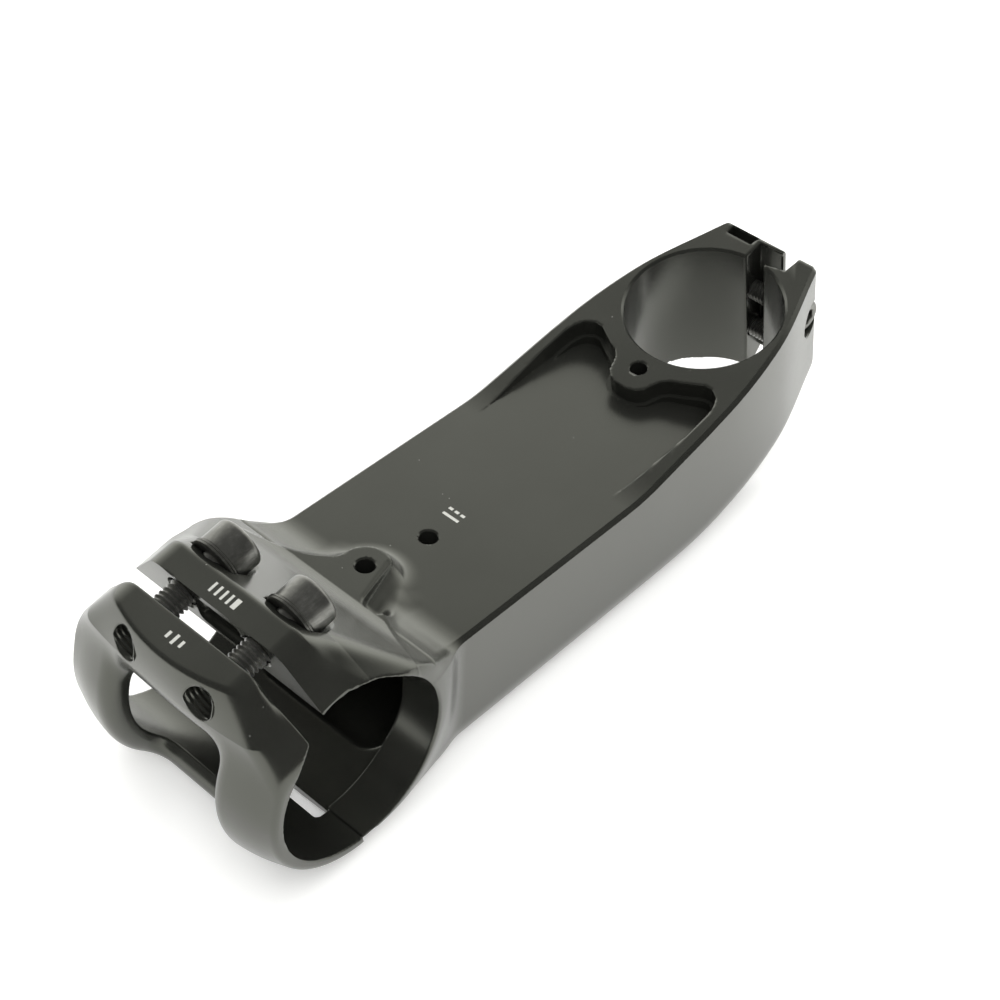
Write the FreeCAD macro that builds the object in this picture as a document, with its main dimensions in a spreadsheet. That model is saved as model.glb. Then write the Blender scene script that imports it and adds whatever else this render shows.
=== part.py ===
import FreeCAD, Part
import os, math
import Sketcher
from FreeCAD import Vector, Rotation, Placement

# Threadless handlebar stem with a removable faceplate, lying on its smooth
# face. Row frame: origin at the middle of the steerer clamp bore on its axis,
# +X towards the handlebar clamp, +Z up from the smooth face, +Y to the left
# of +X. The steerer axis leans 12 degrees in the XZ plane. Each piece of the
# body is drawn in the stem frame (steerer axis upright) and the finished piece
# is leaned by its Placement.

doc = FreeCAD.newDocument("handlebar_stem")
sheet = doc.addObject("Spreadsheet::Sheet", "dims")

SIZES = [
    ("lean", 12.0, "angle between the steerer axis and the row's Z, degrees"),
    ("reach", 110.0, "steerer centre to handlebar centre"),
    ("steerer_rad", 14.3, "steerer clamp bore radius, 28.6 mm steerer"),
    ("bar_rad", 15.9, "handlebar clamp bore radius, 31.8 mm bar"),
    ("half_stack", 15.0, "half of the steerer clamp height"),
    ("plate_up", 6.39, "cover seat plane above the row origin"),
    ("base_down", 20.0, "smooth face below the row origin"),
    ("rear_x", 19.9, "rear face behind the steerer axis"),
    ("clamp_half", 22.8, "half width of the handlebar clamp"),
    ("neck_half", 19.35, "half width of the neck"),
    ("ring_out", 20.0, "outer radius of the handlebar clamp"),
    ("lip_top", 24.3, "lip and faceplate flat above the bar axis"),
    ("lip_front", 2.2, "lip front face ahead of the bar axis"),
    ("lip_rear", 2.6, "rear end of the lip flat behind the bar axis"),
    ("seat_back", 4.2, "washer seat behind the bar axis"),
    ("low_split", 3.8, "lower joint ahead of the bar axis"),
    ("screw_up", 20.6, "clamp screw axis above the bar axis"),
    ("screw_side", 8.0, "clamp screw axis from the middle plane"),
    ("screw_clear", 2.7, "clearance hole radius for the clamp screws"),
    ("sink_rad", 4.85, "counterbore radius for the clamp screw heads"),
    ("cap_gap", 4.1, "opening between lip and faceplate"),
    ("cap_front", 12.3, "front end of the faceplate flat"),
    ("thread_rad", 2.5, "faceplate thread radius, M5"),
    ("screw_rad", 2.42, "clamp screw thread radius"),
    ("head_rad", 4.25, "clamp screw head radius"),
    ("head_len", 5.0, "clamp screw head length"),
    ("screw_len", 16.0, "clamp screw length under the head"),
    ("key_flat", 4.0, "clamp screw key size across flats"),
    ("key_depth", 2.6, "clamp screw key depth"),
    ("washer_rad", 4.6, "washer outer radius"),
    ("washer_hole", 2.65, "washer hole radius"),
    ("washer_thick", 0.8, "washer thickness"),
    ("window_half", 10.0, "half width of the faceplate window"),
    ("window_top", 10.6, "window top above the bar axis"),
    ("window_low", 12.4, "window bottom below the bar axis"),
    ("pinch_back", 16.7, "pinch screw axis behind the steerer axis"),
    ("pinch_high", 4.5, "upper pinch screw above the clamp middle"),
    ("pinch_low", 5.5, "lower pinch screw below the clamp middle"),
    ("pinch_rad", 1.92, "pinch screw thread radius, M4"),
    ("pinch_tap", 2.0, "pinch thread radius in the far ear"),
    ("pinch_clear", 2.15, "pinch screw clearance radius in the near ear"),
    ("pinch_head_rad", 3.4, "pinch screw head radius"),
    ("pinch_head_len", 4.0, "pinch screw head length"),
    ("pinch_len", 12.0, "pinch screw length under the head"),
    ("pinch_seat", 6.6, "pinch screw head seat from the middle plane"),
    ("pinch_sink", 3.6, "pinch screw counterbore radius"),
    ("pinch_key", 3.0, "pinch screw key size across flats"),
    ("cover_rad", 1.5, "cover screw thread radius, M3"),
    ("rear_hole_x", 18.18, "rear cover hole ahead of the steerer axis"),
    ("mid_hole_x", 73.3, "middle cover hole ahead of the origin"),
    ("boss_hole_x", 87.4, "boss cover hole ahead of the origin"),
    ("boss_up", 10.1, "boss top above the origin"),
    ("boss_rad", 4.4, "boss radius"),
    ("hollow_half", 14.5, "half width of the hollow in the neck"),
    ("hollow_rear", 56.0, "rear end of the hollow ahead of the origin"),
    ("hollow_top", 1.4, "roof of the hollow above the origin"),
    ("hollow_low", 15.6, "floor of the hollow below the origin"),
]
value = {}
for row, (alias, number, note) in enumerate(SIZES, start=1):
    sheet.set("A%d" % row, note)
    sheet.set("B%d" % row, "%g" % number)
    sheet.setAlias("B%d" % row, alias)
    value[alias] = number
doc.recompute()


class Dim:
    """A length that knows its number and its spreadsheet expression."""

    def __init__(self, number, text):
        self.number = float(number)
        self.text = text

    def __add__(self, other):
        other = dim(other)
        return Dim(self.number + other.number, "(%s + %s)" % (self.text, other.text))

    def __sub__(self, other):
        other = dim(other)
        return Dim(self.number - other.number, "(%s - %s)" % (self.text, other.text))

    def __mul__(self, other):
        other = dim(other)
        return Dim(self.number * other.number, "(%s * %s)" % (self.text, other.text))

    def __truediv__(self, other):
        other = dim(other)
        return Dim(self.number / other.number, "(%s / %s)" % (self.text, other.text))

    def __neg__(self):
        return Dim(-self.number, "(-1 * %s)" % self.text)

    __radd__ = __add__

    def __rsub__(self, other):
        return dim(other) - self

    __rmul__ = __mul__


def dim(item):
    if isinstance(item, Dim):
        return item
    if isinstance(item, str):
        return Dim(value[item], "dims.%s" % item)
    return Dim(item, "%.6g" % item)


LEAN = math.radians(value["lean"])
COS = Dim(math.cos(LEAN), "cos(dims.lean * 1 deg)")
SIN = Dim(math.sin(LEAN), "sin(dims.lean * 1 deg)")


def stem(x, z):
    """Stem-frame coordinates of a point given in the row frame."""
    x, z = dim(x), dim(z)
    return (x * COS - z * SIN, x * SIN + z * COS)


BAR_X, BAR_Z = stem("reach", 0.0)


def plane_of(body, role):
    for item in body.Origin.OriginFeatures:
        if item.Role == role:
            return item
    raise RuntimeError(role)


def sketch_on(body, role, name, offset=None):
    sk = body.newObject("Sketcher::SketchObject", name)
    sk.AttachmentSupport = [(plane_of(body, role), "")]
    sk.MapMode = "FlatFace"
    if offset is not None:
        sk.AttachmentOffset = offset
    return sk


def bind(sk, geo, pos, x, y):
    """Tie a sketch point to sheet expressions, measured from the sketch origin."""
    x, y = dim(x), dim(y)
    for kind, item in (("DistanceX", x), ("DistanceY", y)):
        if abs(item.number) < 1e-9:
            sk.addConstraint(Sketcher.Constraint(
                "PointOnObject", geo, pos, -2 if kind == "DistanceX" else -1))
            continue
        index = sk.addConstraint(Sketcher.Constraint(kind, -1, 1, geo, pos, item.number))
        if "dims" in item.text:
            sk.setExpression("Constraints[%d]" % index, item.text)


def polygon(sk, points):
    """Closed outline of straight edges through the given points."""
    pts = [(dim(a), dim(b)) for a, b in points]
    first = sk.GeometryCount
    count = len(pts)
    for i in range(count):
        a, b = pts[i], pts[(i + 1) % count]
        sk.addGeometry(Part.LineSegment(Vector(a[0].number, a[1].number, 0),
                                        Vector(b[0].number, b[1].number, 0)), False)
    for i in range(count):
        sk.addConstraint(Sketcher.Constraint(
            "Coincident", first + i, 2, first + (i + 1) % count, 1))
    for i in range(count):
        bind(sk, first + i, 1, pts[i][0], pts[i][1])


def circle(sk, x, y, radius):
    x, y, radius = dim(x), dim(y), dim(radius)
    geo = sk.addGeometry(Part.Circle(Vector(x.number, y.number, 0), Vector(0, 0, 1),
                                     radius.number), False)
    bind(sk, geo, 3, x, y)
    index = sk.addConstraint(Sketcher.Constraint("Radius", geo, radius.number))
    if "dims" in radius.text:
        sk.setExpression("Constraints[%d]" % index, radius.text)


def pad(body, sk, name, length, midplane=False, reverse=False):
    feature = body.newObject("PartDesign::Pad", name)
    feature.Profile = sk
    length = dim(length)
    feature.Length = length.number
    if "dims" in length.text:
        feature.setExpression("Length", length.text)
    feature.Midplane = midplane
    feature.Reversed = reverse
    sk.Visibility = False
    body.Tip = feature
    doc.recompute()
    return feature


def pocket(body, sk, name, length=None, midplane=False, reverse=False, at_least=0.05):
    """Cut a sketch through, or to a length, and make sure that it took material away."""
    before = body.Shape.Volume
    feature = body.newObject("PartDesign::Pocket", name)
    feature.Profile = sk
    if length is None:
        feature.Type = "Length"
        feature.Length = 400.0
        feature.Midplane = True
    else:
        length = dim(length)
        feature.Type = "Length"
        feature.Length = length.number
        if "dims" in length.text:
            feature.setExpression("Length", length.text)
        feature.Midplane = midplane
        feature.Reversed = reverse
    sk.Visibility = False
    body.Tip = feature
    doc.recompute()
    if before - body.Shape.Volume < at_least:
        raise RuntimeError("%s cuts nothing" % name)
    return feature


def leaned(z=0.0):
    """Sketch offset on the stem frame's XY plane that lies level in the row frame."""
    turn = Placement(Vector(0, 0, 0), Rotation(Vector(0, 1, 0), -value["lean"]))
    return turn.multiply(Placement(Vector(0, 0, z), Rotation()))


# ---------------------------------------------------------------- stem body
body = doc.addObject("PartDesign::Body", "stem_body")
body.Label = "stem_body"

# side profile: rear block, cover seat plane, cove up to the shoulder, lip,
# split, lower arm and the smooth face
plate = lambda x: stem(x, "plate_up")
side = sketch_on(body, "XZ_Plane", "side_profile")
seat_cross_x = (dim("half_stack") * COS - dim("plate_up")) / SIN
half_stack = dim("half_stack")
low_x = (dim("base_down") - half_stack * COS) / SIN
split_low_z = (dim("low_split") * SIN - dim("base_down")) / COS
profile = [
    (-dim("rear_x"), -half_stack),
    (-dim("rear_x"), half_stack),
    (seat_cross_x, half_stack),
    plate(86.2),
    stem(89.3, 7.3),
    stem(92.0, 9.4),
    stem(94.0, 11.2),
    (BAR_X - dim("lip_rear"), BAR_Z + dim("lip_top")),
    (BAR_X + dim("lip_front"), BAR_Z + dim("lip_top")),
    (BAR_X + dim("lip_front"), BAR_Z),
    (BAR_X + dim("low_split"), BAR_Z),
    (BAR_X + dim("low_split"), BAR_Z + split_low_z),
    (low_x, -half_stack),
]
polygon(side, profile)
pad(body, side, "side_block", dim("clamp_half") * 2, midplane=True)

# plan outline: narrow rear ears, long parallel neck, flare into the clamp
plan = sketch_on(body, "XY_Plane", "plan_trim")
OUTLINE = [(-30.0, 5.9), (-19.9, 10.34), (-15.6, 11.7), (-11.7, 13.1), (-7.8, 14.5), (-3.9, 15.75),
           (0.0, 16.65), (3.9, 17.3), (7.8, 17.9), (13.6, 18.45), (21.4, 18.85), (37.0, 19.2)]
FLARE = [(84.0, 0.0), (86.3, 0.35), (88.0, 1.2), (89.3, 2.4), (90.2, 3.45)]
for sign in (1, -1):
    pts = [(x, sign * y) for x, y in OUTLINE]
    pts += [(x, (dim("neck_half") + y) * sign) for x, y in FLARE]
    pts += [(90.2, 40.0 * sign), (-30.0, 40.0 * sign)]
    polygon(plan, pts)
pocket(body, plan, "plan_cut")

# handlebar bore, steerer bore
bore = sketch_on(body, "XZ_Plane", "bar_bore_circle")
circle(bore, BAR_X, BAR_Z, "bar_rad")
pocket(body, bore, "bar_bore")
bore = sketch_on(body, "XY_Plane", "steerer_bore_circle")
circle(bore, 0.0, 0.0, "steerer_rad")
pocket(body, bore, "steerer_bore")

# sloping ends of the lip, 48 degrees, both sides
ends = sketch_on(body, "YZ_Plane", "lip_ends")
for sign in (1, -1):
    polygon(ends, [(13.5 * sign, BAR_Z + dim("lip_top")),
                   (sign * (dim("clamp_half") + 1.0), BAR_Z + dim("lip_top") - 13.1),
                   (sign * (dim("clamp_half") + 8.0), BAR_Z + dim("lip_top") - 13.1),
                   (sign * (dim("clamp_half") + 8.0), BAR_Z + dim("lip_top") + 5.0),
                   (13.5 * sign, BAR_Z + dim("lip_top") + 5.0)])
pocket(body, ends, "lip_end_slopes")

# lower corners of the neck and clamp taken off along the whole length
low = sketch_on(body, "YZ_Plane", "low_corner_outline", leaned())
for sign in (1, -1):
    polygon(low, [(15.6 * sign, -21.0), (17.2 * sign, -18.6), (19.6 * sign, -15.4), (30.0 * sign, -13.0), (30.0 * sign, -21.0)])
pocket(body, low, "low_corners")

# cover pocket with a scalloped end wall, floor level with the seat plane
scallop = sketch_on(body, "XY_Plane", "scallop_outline", leaned(value["plate_up"]))
HALF = [(46.0, 16.6), (36.0, 16.4), (28.0, 16.1), (24.6, 15.9), (21.3, 15.0), (20.2, 13.0),
        (20.6, 10.2), (22.6, 8.2), (25.6, 6.6), (27.4, 4.2), (28.0, 1.4)]
pts = HALF + [(x, -y) for x, y in reversed(HALF)]
polygon(scallop, pts)
pocket(body, scallop, "scallop_pocket", 14.0, reverse=True)

# split at the back of the steerer clamp: a dog-leg slot, and a small relief
split = sketch_on(body, "XY_Plane", "rear_split")
polygon(split, [(-12.0, -1.6), (-12.0, 2.2), (-14.6, 2.6), (-17.0, 6.3), (-24.0, 6.6),
                (-24.0, 3.2), (-19.0, 3.0), (-16.2, -1.6)])
pocket(body, split, "rear_slot")
relief = sketch_on(body, "XY_Plane", "rear_relief",
                   Placement(Vector(0, 0, value["half_stack"]), Rotation()))
polygon(relief, [(-17.3, -8.0), (-17.3, -3.0), (-19.2, -2.6), (-19.2, -8.4)])
pocket(body, relief, "rear_relief_cut", 2.2)

# opposed pinch screw holes: clearance and counterbore in the near ear, thread in the far one
for name, side_sign, height in (("high", 1, dim("pinch_high")), ("low", -1, -dim("pinch_low"))):
    hole = sketch_on(body, "XZ_Plane", "pinch_clear_%s_circle" % name)
    circle(hole, -dim("pinch_back"), height, "pinch_clear")
    pocket(body, hole, "pinch_clear_%s" % name, 14.0, reverse=(side_sign < 0))
    hole = sketch_on(body, "XZ_Plane", "pinch_tap_%s_circle" % name)
    circle(hole, -dim("pinch_back"), height, "pinch_tap")
    pocket(body, hole, "pinch_tap_%s" % name, 8.0, reverse=(side_sign > 0))
    hole = sketch_on(body, "XZ_Plane", "pinch_sink_%s_circle" % name,
                     Placement(Vector(0, 0, -side_sign * value["pinch_seat"]), Rotation()))
    circle(hole, -dim("pinch_back"), height, "pinch_sink")
    pocket(body, hole, "pinch_sink_%s" % name, 8.0, reverse=(side_sign < 0))

# clamp screw holes through the lip, with counterbores from behind
holes = sketch_on(body, "YZ_Plane", "clamp_screw_circles")
for sign in (1, -1):
    circle(holes, dim("screw_side") * sign, BAR_Z + dim("screw_up"), "screw_clear")
pocket(body, holes, "clamp_screw_holes")
sinks = sketch_on(body, "YZ_Plane", "clamp_sink_circles")
for sign in (1, -1):
    circle(sinks, dim("screw_side") * sign, BAR_Z + dim("screw_up"), "sink_rad")
pocket(body, sinks, "clamp_sinks", BAR_X - dim("seat_back"), reverse=True)

# hollow of the neck, open to the handlebar bore
hollow = sketch_on(body, "XZ_Plane", "hollow_outline")
polygon(hollow, [stem("hollow_rear", -dim("hollow_low") + 5.0), stem("hollow_rear", "hollow_top"),
                 stem(99.0, "hollow_top"), stem(99.0, -dim("hollow_low")),
                 stem(dim("hollow_rear") + 5.0, -dim("hollow_low"))])
pocket(body, hollow, "neck_hollow", dim("hollow_half") * 2, midplane=True)

# boss for the cover's front screw, running forward into the shoulder
boss = sketch_on(body, "XY_Plane", "boss_outline", leaned(value["plate_up"] - 0.5))
BX = dim("boss_hole_x")
BR = dim("boss_rad")
ring = []
for k in range(13):
    a = math.radians(90 + 15 * k)
    ring.append((BX + BR * math.cos(a), BR * math.sin(a)))
polygon(boss, ring + [(BX + 3.2, -dim("boss_rad")), (BX + 5.4, -7.2), (BX + 6.8, -7.2),
                      (BX + 6.8, 7.2), (BX + 5.4, 7.2), (BX + 3.2, dim("boss_rad"))])
pad(body, boss, "boss", dim("boss_up") - dim("plate_up") + 0.5)

# M3 holes for the cover: one square to the clamp face, two square to the seat plane
hole = sketch_on(body, "XY_Plane", "rear_cover_circle",
                 Placement(Vector(0, 0, value["half_stack"]), Rotation()))
circle(hole, "rear_hole_x", 0.0, "cover_rad")
pocket(body, hole, "rear_cover_hole", 8.0)
hole = sketch_on(body, "XY_Plane", "mid_cover_circle", leaned(value["plate_up"]))
circle(hole, "mid_hole_x", 0.0, "cover_rad")
pocket(body, hole, "mid_cover_hole", 6.0)
hole = sketch_on(body, "XY_Plane", "boss_cover_circle", leaned(value["boss_up"]))
circle(hole, "boss_hole_x", 0.0, "cover_rad")
pocket(body, hole, "boss_cover_hole", 9.5)

# grooves that take the faceplate's two hooks
hooks = sketch_on(body, "YZ_Plane", "hook_grooves",
                  Placement(Vector(0, 0, value["reach"] * math.cos(LEAN) + value["low_split"]), Rotation()))
for sign in (1, -1):
    polygon(hooks, [(15.3 * sign, BAR_Z - 18.55), (19.2 * sign, BAR_Z - 18.55),
                    (19.2 * sign, BAR_Z - 16.85), (15.3 * sign, BAR_Z - 16.85)])
pocket(body, hooks, "hook_groove_cut", 2.6)
body.Placement = Placement(Vector(0, 0, 0), Rotation(Vector(0, 1, 0), value["lean"]))

# ---------------------------------------------------------------- faceplate
# Drawn about the bar axis with the stem frame's directions.
cap = doc.addObject("PartDesign::Body", "faceplate")
cap.Label = "faceplate"
CAP_REAR = dim("lip_front") + dim("cap_gap")
side = sketch_on(cap, "XZ_Plane", "cap_profile")
pts = [(CAP_REAR, 3.0), (CAP_REAR, "lip_top"), ("cap_front", "lip_top"), (13.9, 20.6), (15.6, 15.4), (17.5, 9.7)]
for k in range(0, 13):
    a = math.radians(22.0 - 8.0 * k)
    pts.append((dim("ring_out") * math.cos(a), dim("ring_out") * math.sin(a)))
pts += [(dim("low_split") + 0.05, (dim("low_split") * SIN - dim("base_down")) / COS + 0.05),
        (dim("low_split") + 0.05, 3.0)]
polygon(side, pts)
pad(cap, side, "cap_block", dim("clamp_half") * 2, midplane=True)
bore = sketch_on(cap, "XZ_Plane", "cap_bore_circle")
circle(bore, 0.0, 0.0, "bar_rad")
pocket(cap, bore, "cap_bore")
ends = sketch_on(cap, "YZ_Plane", "cap_ends")
for sign in (1, -1):
    polygon(ends, [(14.0 * sign, "lip_top"), (sign * (dim("clamp_half") + 1.0), dim("lip_top") - 12.6),
                   (sign * (dim("clamp_half") + 8.0), dim("lip_top") - 12.6),
                   (sign * (dim("clamp_half") + 8.0), dim("lip_top") + 5.0),
                   (14.0 * sign, dim("lip_top") + 5.0)])
pocket(cap, ends, "cap_end_slopes")
window = sketch_on(cap, "YZ_Plane", "window_outline")
W, T, L = dim("window_half"), dim("window_top"), dim("window_low")
polygon(window, [(-W + 3.0, T), (W - 3.0, T), (W, T - 3.0), (W, -L + 3.0), (W - 3.0, -L),
                 (-W + 3.0, -L), (-W, -L + 3.0), (-W, T - 3.0)])
pocket(cap, window, "window", 60.0, reverse=True)
holes = sketch_on(cap, "YZ_Plane", "cap_thread_circles")
for sign in (1, -1):
    circle(holes, dim("screw_side") * sign, "screw_up", "thread_rad")
pocket(cap, holes, "cap_threads", 60.0, reverse=True)
# barrel taper of the outer ends, turned about the bar axis
taper = sketch_on(cap, "XY_Plane", "taper_profile")
for sign in (1, -1):
    polygon(taper, [(21.2, 15.2 * sign), (17.4, (dim("clamp_half") + 0.1) * sign),
                    (60.0, (dim("clamp_half") + 0.1) * sign), (60.0, 15.2 * sign)])
groove = cap.newObject("PartDesign::Groove", "end_taper")
groove.Profile = taper
groove.ReferenceAxis = (taper, ["V_Axis"])
groove.Angle = 360.0
cap.Tip = groove
before = cap.Shape.Volume
doc.recompute()
if before - cap.Shape.Volume < 1.0:
    raise RuntimeError("end_taper cuts nothing")
# two hooks that enter the body's grooves
hooks = sketch_on(cap, "YZ_Plane", "hook_outline",
                  Placement(Vector(0, 0, value["low_split"] + 1.2), Rotation()))
for sign in (1, -1):
    polygon(hooks, [(15.7 * sign, -18.35), (18.9 * sign, -18.35), (18.9 * sign, -17.05), (15.7 * sign, -17.05)])
pad(cap, hooks, "hooks", 3.0, reverse=True)
cap.Placement = Placement(Vector(value["reach"], 0, 0), Rotation(Vector(0, 1, 0), value["lean"]))
cap.setExpression("Placement.Base.x", "dims.reach")


# ---------------------------------------------------------------- screws
def screw(name, head_rad, head_len, rad, length, flat, depth, place):
    """Socket head screw along +X, underside of the head at the origin."""
    item = doc.addObject("PartDesign::Body", name)
    item.Label = name
    head_rad, head_len, rad, length = dim(head_rad), dim(head_len), dim(rad), dim(length)
    prof = sketch_on(item, "XZ_Plane", name + "_profile")
    polygon(prof, [(-head_len, 0.0), (-head_len, head_rad - 0.45), (-head_len + 0.45, head_rad),
                   (0.0, head_rad), (0.0, rad), (length - 0.5, rad), (length, rad - 0.5), (length, 0.0)])
    turn = item.newObject("PartDesign::Revolution", name + "_turned")
    turn.Profile = prof
    turn.ReferenceAxis = (prof, ["H_Axis"])
    turn.Angle = 360.0
    item.Tip = turn
    doc.recompute()
    key = sketch_on(item, "YZ_Plane", name + "_key",
                    Placement(Vector(0, 0, -head_len.number), Rotation()))
    corner = dim(flat) / math.sqrt(3.0)
    polygon(key, [(corner * math.cos(math.radians(60 * k)), corner * math.sin(math.radians(60 * k)))
                  for k in range(6)])
    pocket(item, key, name + "_socket", depth, reverse=True)
    item.Placement = place
    return item


lean_turn = Rotation(Vector(0, 1, 0), value["lean"])


def in_row(x, y, z):
    """Row-frame point from stem-frame coordinates."""
    return lean_turn.multVec(Vector(x, y, z))


bar_x, bar_z = BAR_X.number, BAR_Z.number
pieces = [body, cap]
for name, sign in (("left", 1), ("right", -1)):
    under = in_row(bar_x - value["seat_back"] - value["washer_thick"], sign * value["screw_side"],
                   bar_z + value["screw_up"])
    pieces.append(screw("clamp_screw_" + name, "head_rad", "head_len", "screw_rad", "screw_len",
                        "key_flat", "key_depth", Placement(under, lean_turn)))
    ring_body = doc.addObject("PartDesign::Body", "washer_" + name)
    ring_body.Label = "washer_" + name
    ring_sk = sketch_on(ring_body, "YZ_Plane", "washer_%s_ring" % name)
    circle(ring_sk, 0.0, 0.0, "washer_rad")
    circle(ring_sk, 0.0, 0.0, "washer_hole")
    pad(ring_body, ring_sk, "washer_%s_pad" % name, "washer_thick")
    ring_body.Placement = Placement(under, lean_turn)
    pieces.append(ring_body)
for name, sign, height in (("upper", 1, value["pinch_high"]), ("lower", -1, -value["pinch_low"])):
    spot = in_row(-value["pinch_back"], sign * (value["pinch_seat"] + 0.02), height)
    turn = lean_turn.multiply(Rotation(Vector(0, 0, 1), -90 * sign))
    pieces.append(screw("pinch_screw_" + name, "pinch_head_rad", "pinch_head_len", "pinch_rad",
                        "pinch_len", "pinch_key", 2.0, Placement(spot, turn)))
doc.recompute()

# ---------------------------------------------------------------- write
for item in doc.Objects:
    if "Invalid" in item.State or "Error" in item.State:
        raise RuntimeError("%s is %s" % (item.Name, item.State))
os.makedirs("parts", exist_ok=True)
for piece in pieces:
    shape = piece.Shape
    if shape.isNull() or not shape.isValid() or len(shape.Solids) != 1:
        raise RuntimeError("%s has a bad shape (%d solids)" % (piece.Label, len(shape.Solids)))
for piece in pieces:
    piece.Shape.exportStep("parts/%s.step" % piece.Label)
    box = piece.Shape.BoundBox
    print("%-20s %8.1f mm3  x %.2f..%.2f y %.2f..%.2f z %.2f..%.2f" % (
        piece.Label, piece.Shape.Volume, box.XMin, box.XMax, box.YMin, box.YMax, box.ZMin, box.ZMax))
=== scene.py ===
import math
import bpy, bmesh
import numpy as np
from mathutils import Matrix, Vector


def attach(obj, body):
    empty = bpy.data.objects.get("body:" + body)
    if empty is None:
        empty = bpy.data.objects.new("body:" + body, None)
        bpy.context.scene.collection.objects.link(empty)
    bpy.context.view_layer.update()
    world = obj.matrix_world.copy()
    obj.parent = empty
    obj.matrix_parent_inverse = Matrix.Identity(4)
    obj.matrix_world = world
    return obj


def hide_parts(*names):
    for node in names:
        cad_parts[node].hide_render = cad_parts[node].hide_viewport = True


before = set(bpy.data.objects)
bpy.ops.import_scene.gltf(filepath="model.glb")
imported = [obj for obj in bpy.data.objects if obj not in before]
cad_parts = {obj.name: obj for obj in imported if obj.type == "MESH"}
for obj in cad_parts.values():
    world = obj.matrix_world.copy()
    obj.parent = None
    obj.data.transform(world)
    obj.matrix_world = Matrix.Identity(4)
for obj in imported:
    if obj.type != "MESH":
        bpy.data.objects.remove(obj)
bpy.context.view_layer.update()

# ------------------------------------------------------------------ frames
# Row frame: metres, origin in the middle of the steerer clamp. Shapes are
# worked out in millimetres in the stem frame, whose Z is the steerer axis,
# and leaned by 12 degrees about Y into the row frame.
LEAN = math.radians(12.0)
C, S = math.cos(LEAN), math.sin(LEAN)
REACH = 110.0
BX, BZ = REACH * C, REACH * S


def to_row(p):
    """Stem frame, mm, to row frame, m."""
    p = np.asarray(p, float)
    return np.stack([p[:, 0] * C + p[:, 2] * S, p[:, 1], -p[:, 0] * S + p[:, 2] * C], 1) / 1000.0


# ------------------------------------------------------------------ camera
cam_data = bpy.data.cameras.new("camera")
cam_data.lens = 67.47
cam_data.sensor_width = 36.0
cam_data.clip_start = 0.01
cam = bpy.data.objects.new("camera", cam_data)
bpy.context.scene.collection.objects.link(cam)
right = Vector((-0.6771339, 0.7350034, 0.0354921))
down = Vector((0.4895168, 0.4859382, -0.7240424))
ahead = Vector((-0.5494206, -0.4728997, -0.6888417))
m = Matrix.Identity(4)
for row in range(3):
    m[row][0], m[row][1], m[row][2] = right[row], -down[row], -ahead[row]
m[0][3], m[1][3], m[2][3] = 0.228016, 0.147957, 0.218435
cam.matrix_world = m
bpy.context.scene.camera = cam


# ------------------------------------------------------------------ fields
def smin(a, b, k):
    h = np.maximum(k - np.abs(a - b), 0.0) / k
    return np.minimum(a, b) - h * h * k * 0.25


def smax(a, b, k):
    return -smin(-a, -b, k)


def smax_all(k, *items):
    out = items[0]
    for item in items[1:]:
        out = smax(out, item, k)
    return out


def poly(px, py, pts):
    """Signed distance to a closed polygon, negative inside."""
    pts = [(float(a), float(b)) for a, b in pts]
    d = None
    odd = None
    n = len(pts)
    for i in range(n):
        (ax, ay), (bx, by) = pts[i], pts[(i + 1) % n]
        ex, ey = bx - ax, by - ay
        wx, wy = px - ax, py - ay
        t = np.clip((wx * ex + wy * ey) / (ex * ex + ey * ey), 0, 1)
        q = (wx - ex * t) ** 2 + (wy - ey * t) ** 2
        d = q if d is None else np.minimum(d, q)
        side = ex * wy - ey * wx
        flip = ((py >= ay) & (py < by) & (side > 0)) | ((py < ay) & (py >= by) & (side < 0))
        odd = flip if odd is None else odd ^ flip
    d = np.sqrt(d)
    return np.where(odd, -d, d)


def capsule(x, y, z, a, b, r):
    ax, ay, az = a
    ex, ey, ez = b[0] - ax, b[1] - ay, b[2] - az
    t = np.clip(((x - ax) * ex + (y - ay) * ey + (z - az) * ez) / (ex * ex + ey * ey + ez * ez), 0, 1)
    return np.sqrt((x - ax - ex * t) ** 2 + (y - ay - ey * t) ** 2 + (z - az - ez * t) ** 2) - r


def rbox(x, y, z, lo, hi, r):
    c = [(a + b) / 2 for a, b in zip(lo, hi)]
    h = [(b - a) / 2 - r for a, b in zip(lo, hi)]
    q = [np.abs(v - m_) - k for v, m_, k in zip((x, y, z), c, h)]
    out = np.sqrt(np.maximum(q[0], 0) ** 2 + np.maximum(q[1], 0) ** 2 + np.maximum(q[2], 0) ** 2)
    return out + np.minimum(np.maximum(q[0], np.maximum(q[1], q[2])), 0) - r


OUTLINE = np.array([(-30.0, 5.6), (-19.9, 10.34), (-15.56, 11.67), (-11.67, 13.13), (-7.78, 14.49), (-3.89, 15.76),
                    (0.0, 16.63), (3.89, 17.31), (7.78, 17.9), (13.6, 18.5), (21.4, 18.85), (37.0, 19.2),
                    (60.0, 19.3), (80.0, 19.35), (140.0, 19.35)])
_fine = np.linspace(-30, 140, 681)
_wide = np.interp(_fine, OUTLINE[:, 0], OUTLINE[:, 1])
for _ in range(3):
    _wide = np.convolve(np.pad(_wide, 8, mode="edge"), np.ones(17) / 17, "valid")
HALF_WALL = [(58.0, 14.0), (44.0, 14.6), (40.0, 15.0), (33.0, 15.6), (25.0, 16.15), (19.0, 16.1), (17.0, 15.7),
             (15.4, 14.9), (14.4, 13.3), (14.4, 11.6), (15.4, 9.8), (16.6, 7.6), (17.2, 6.2), (18.3, 5.1), (19.7, 4.5),
             (21.4, 3.9), (22.5, 2.7), (23.0, 1.2)]
WALL = HALF_WALL + [(a, -b) for a, b in reversed(HALF_WALL)]


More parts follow.
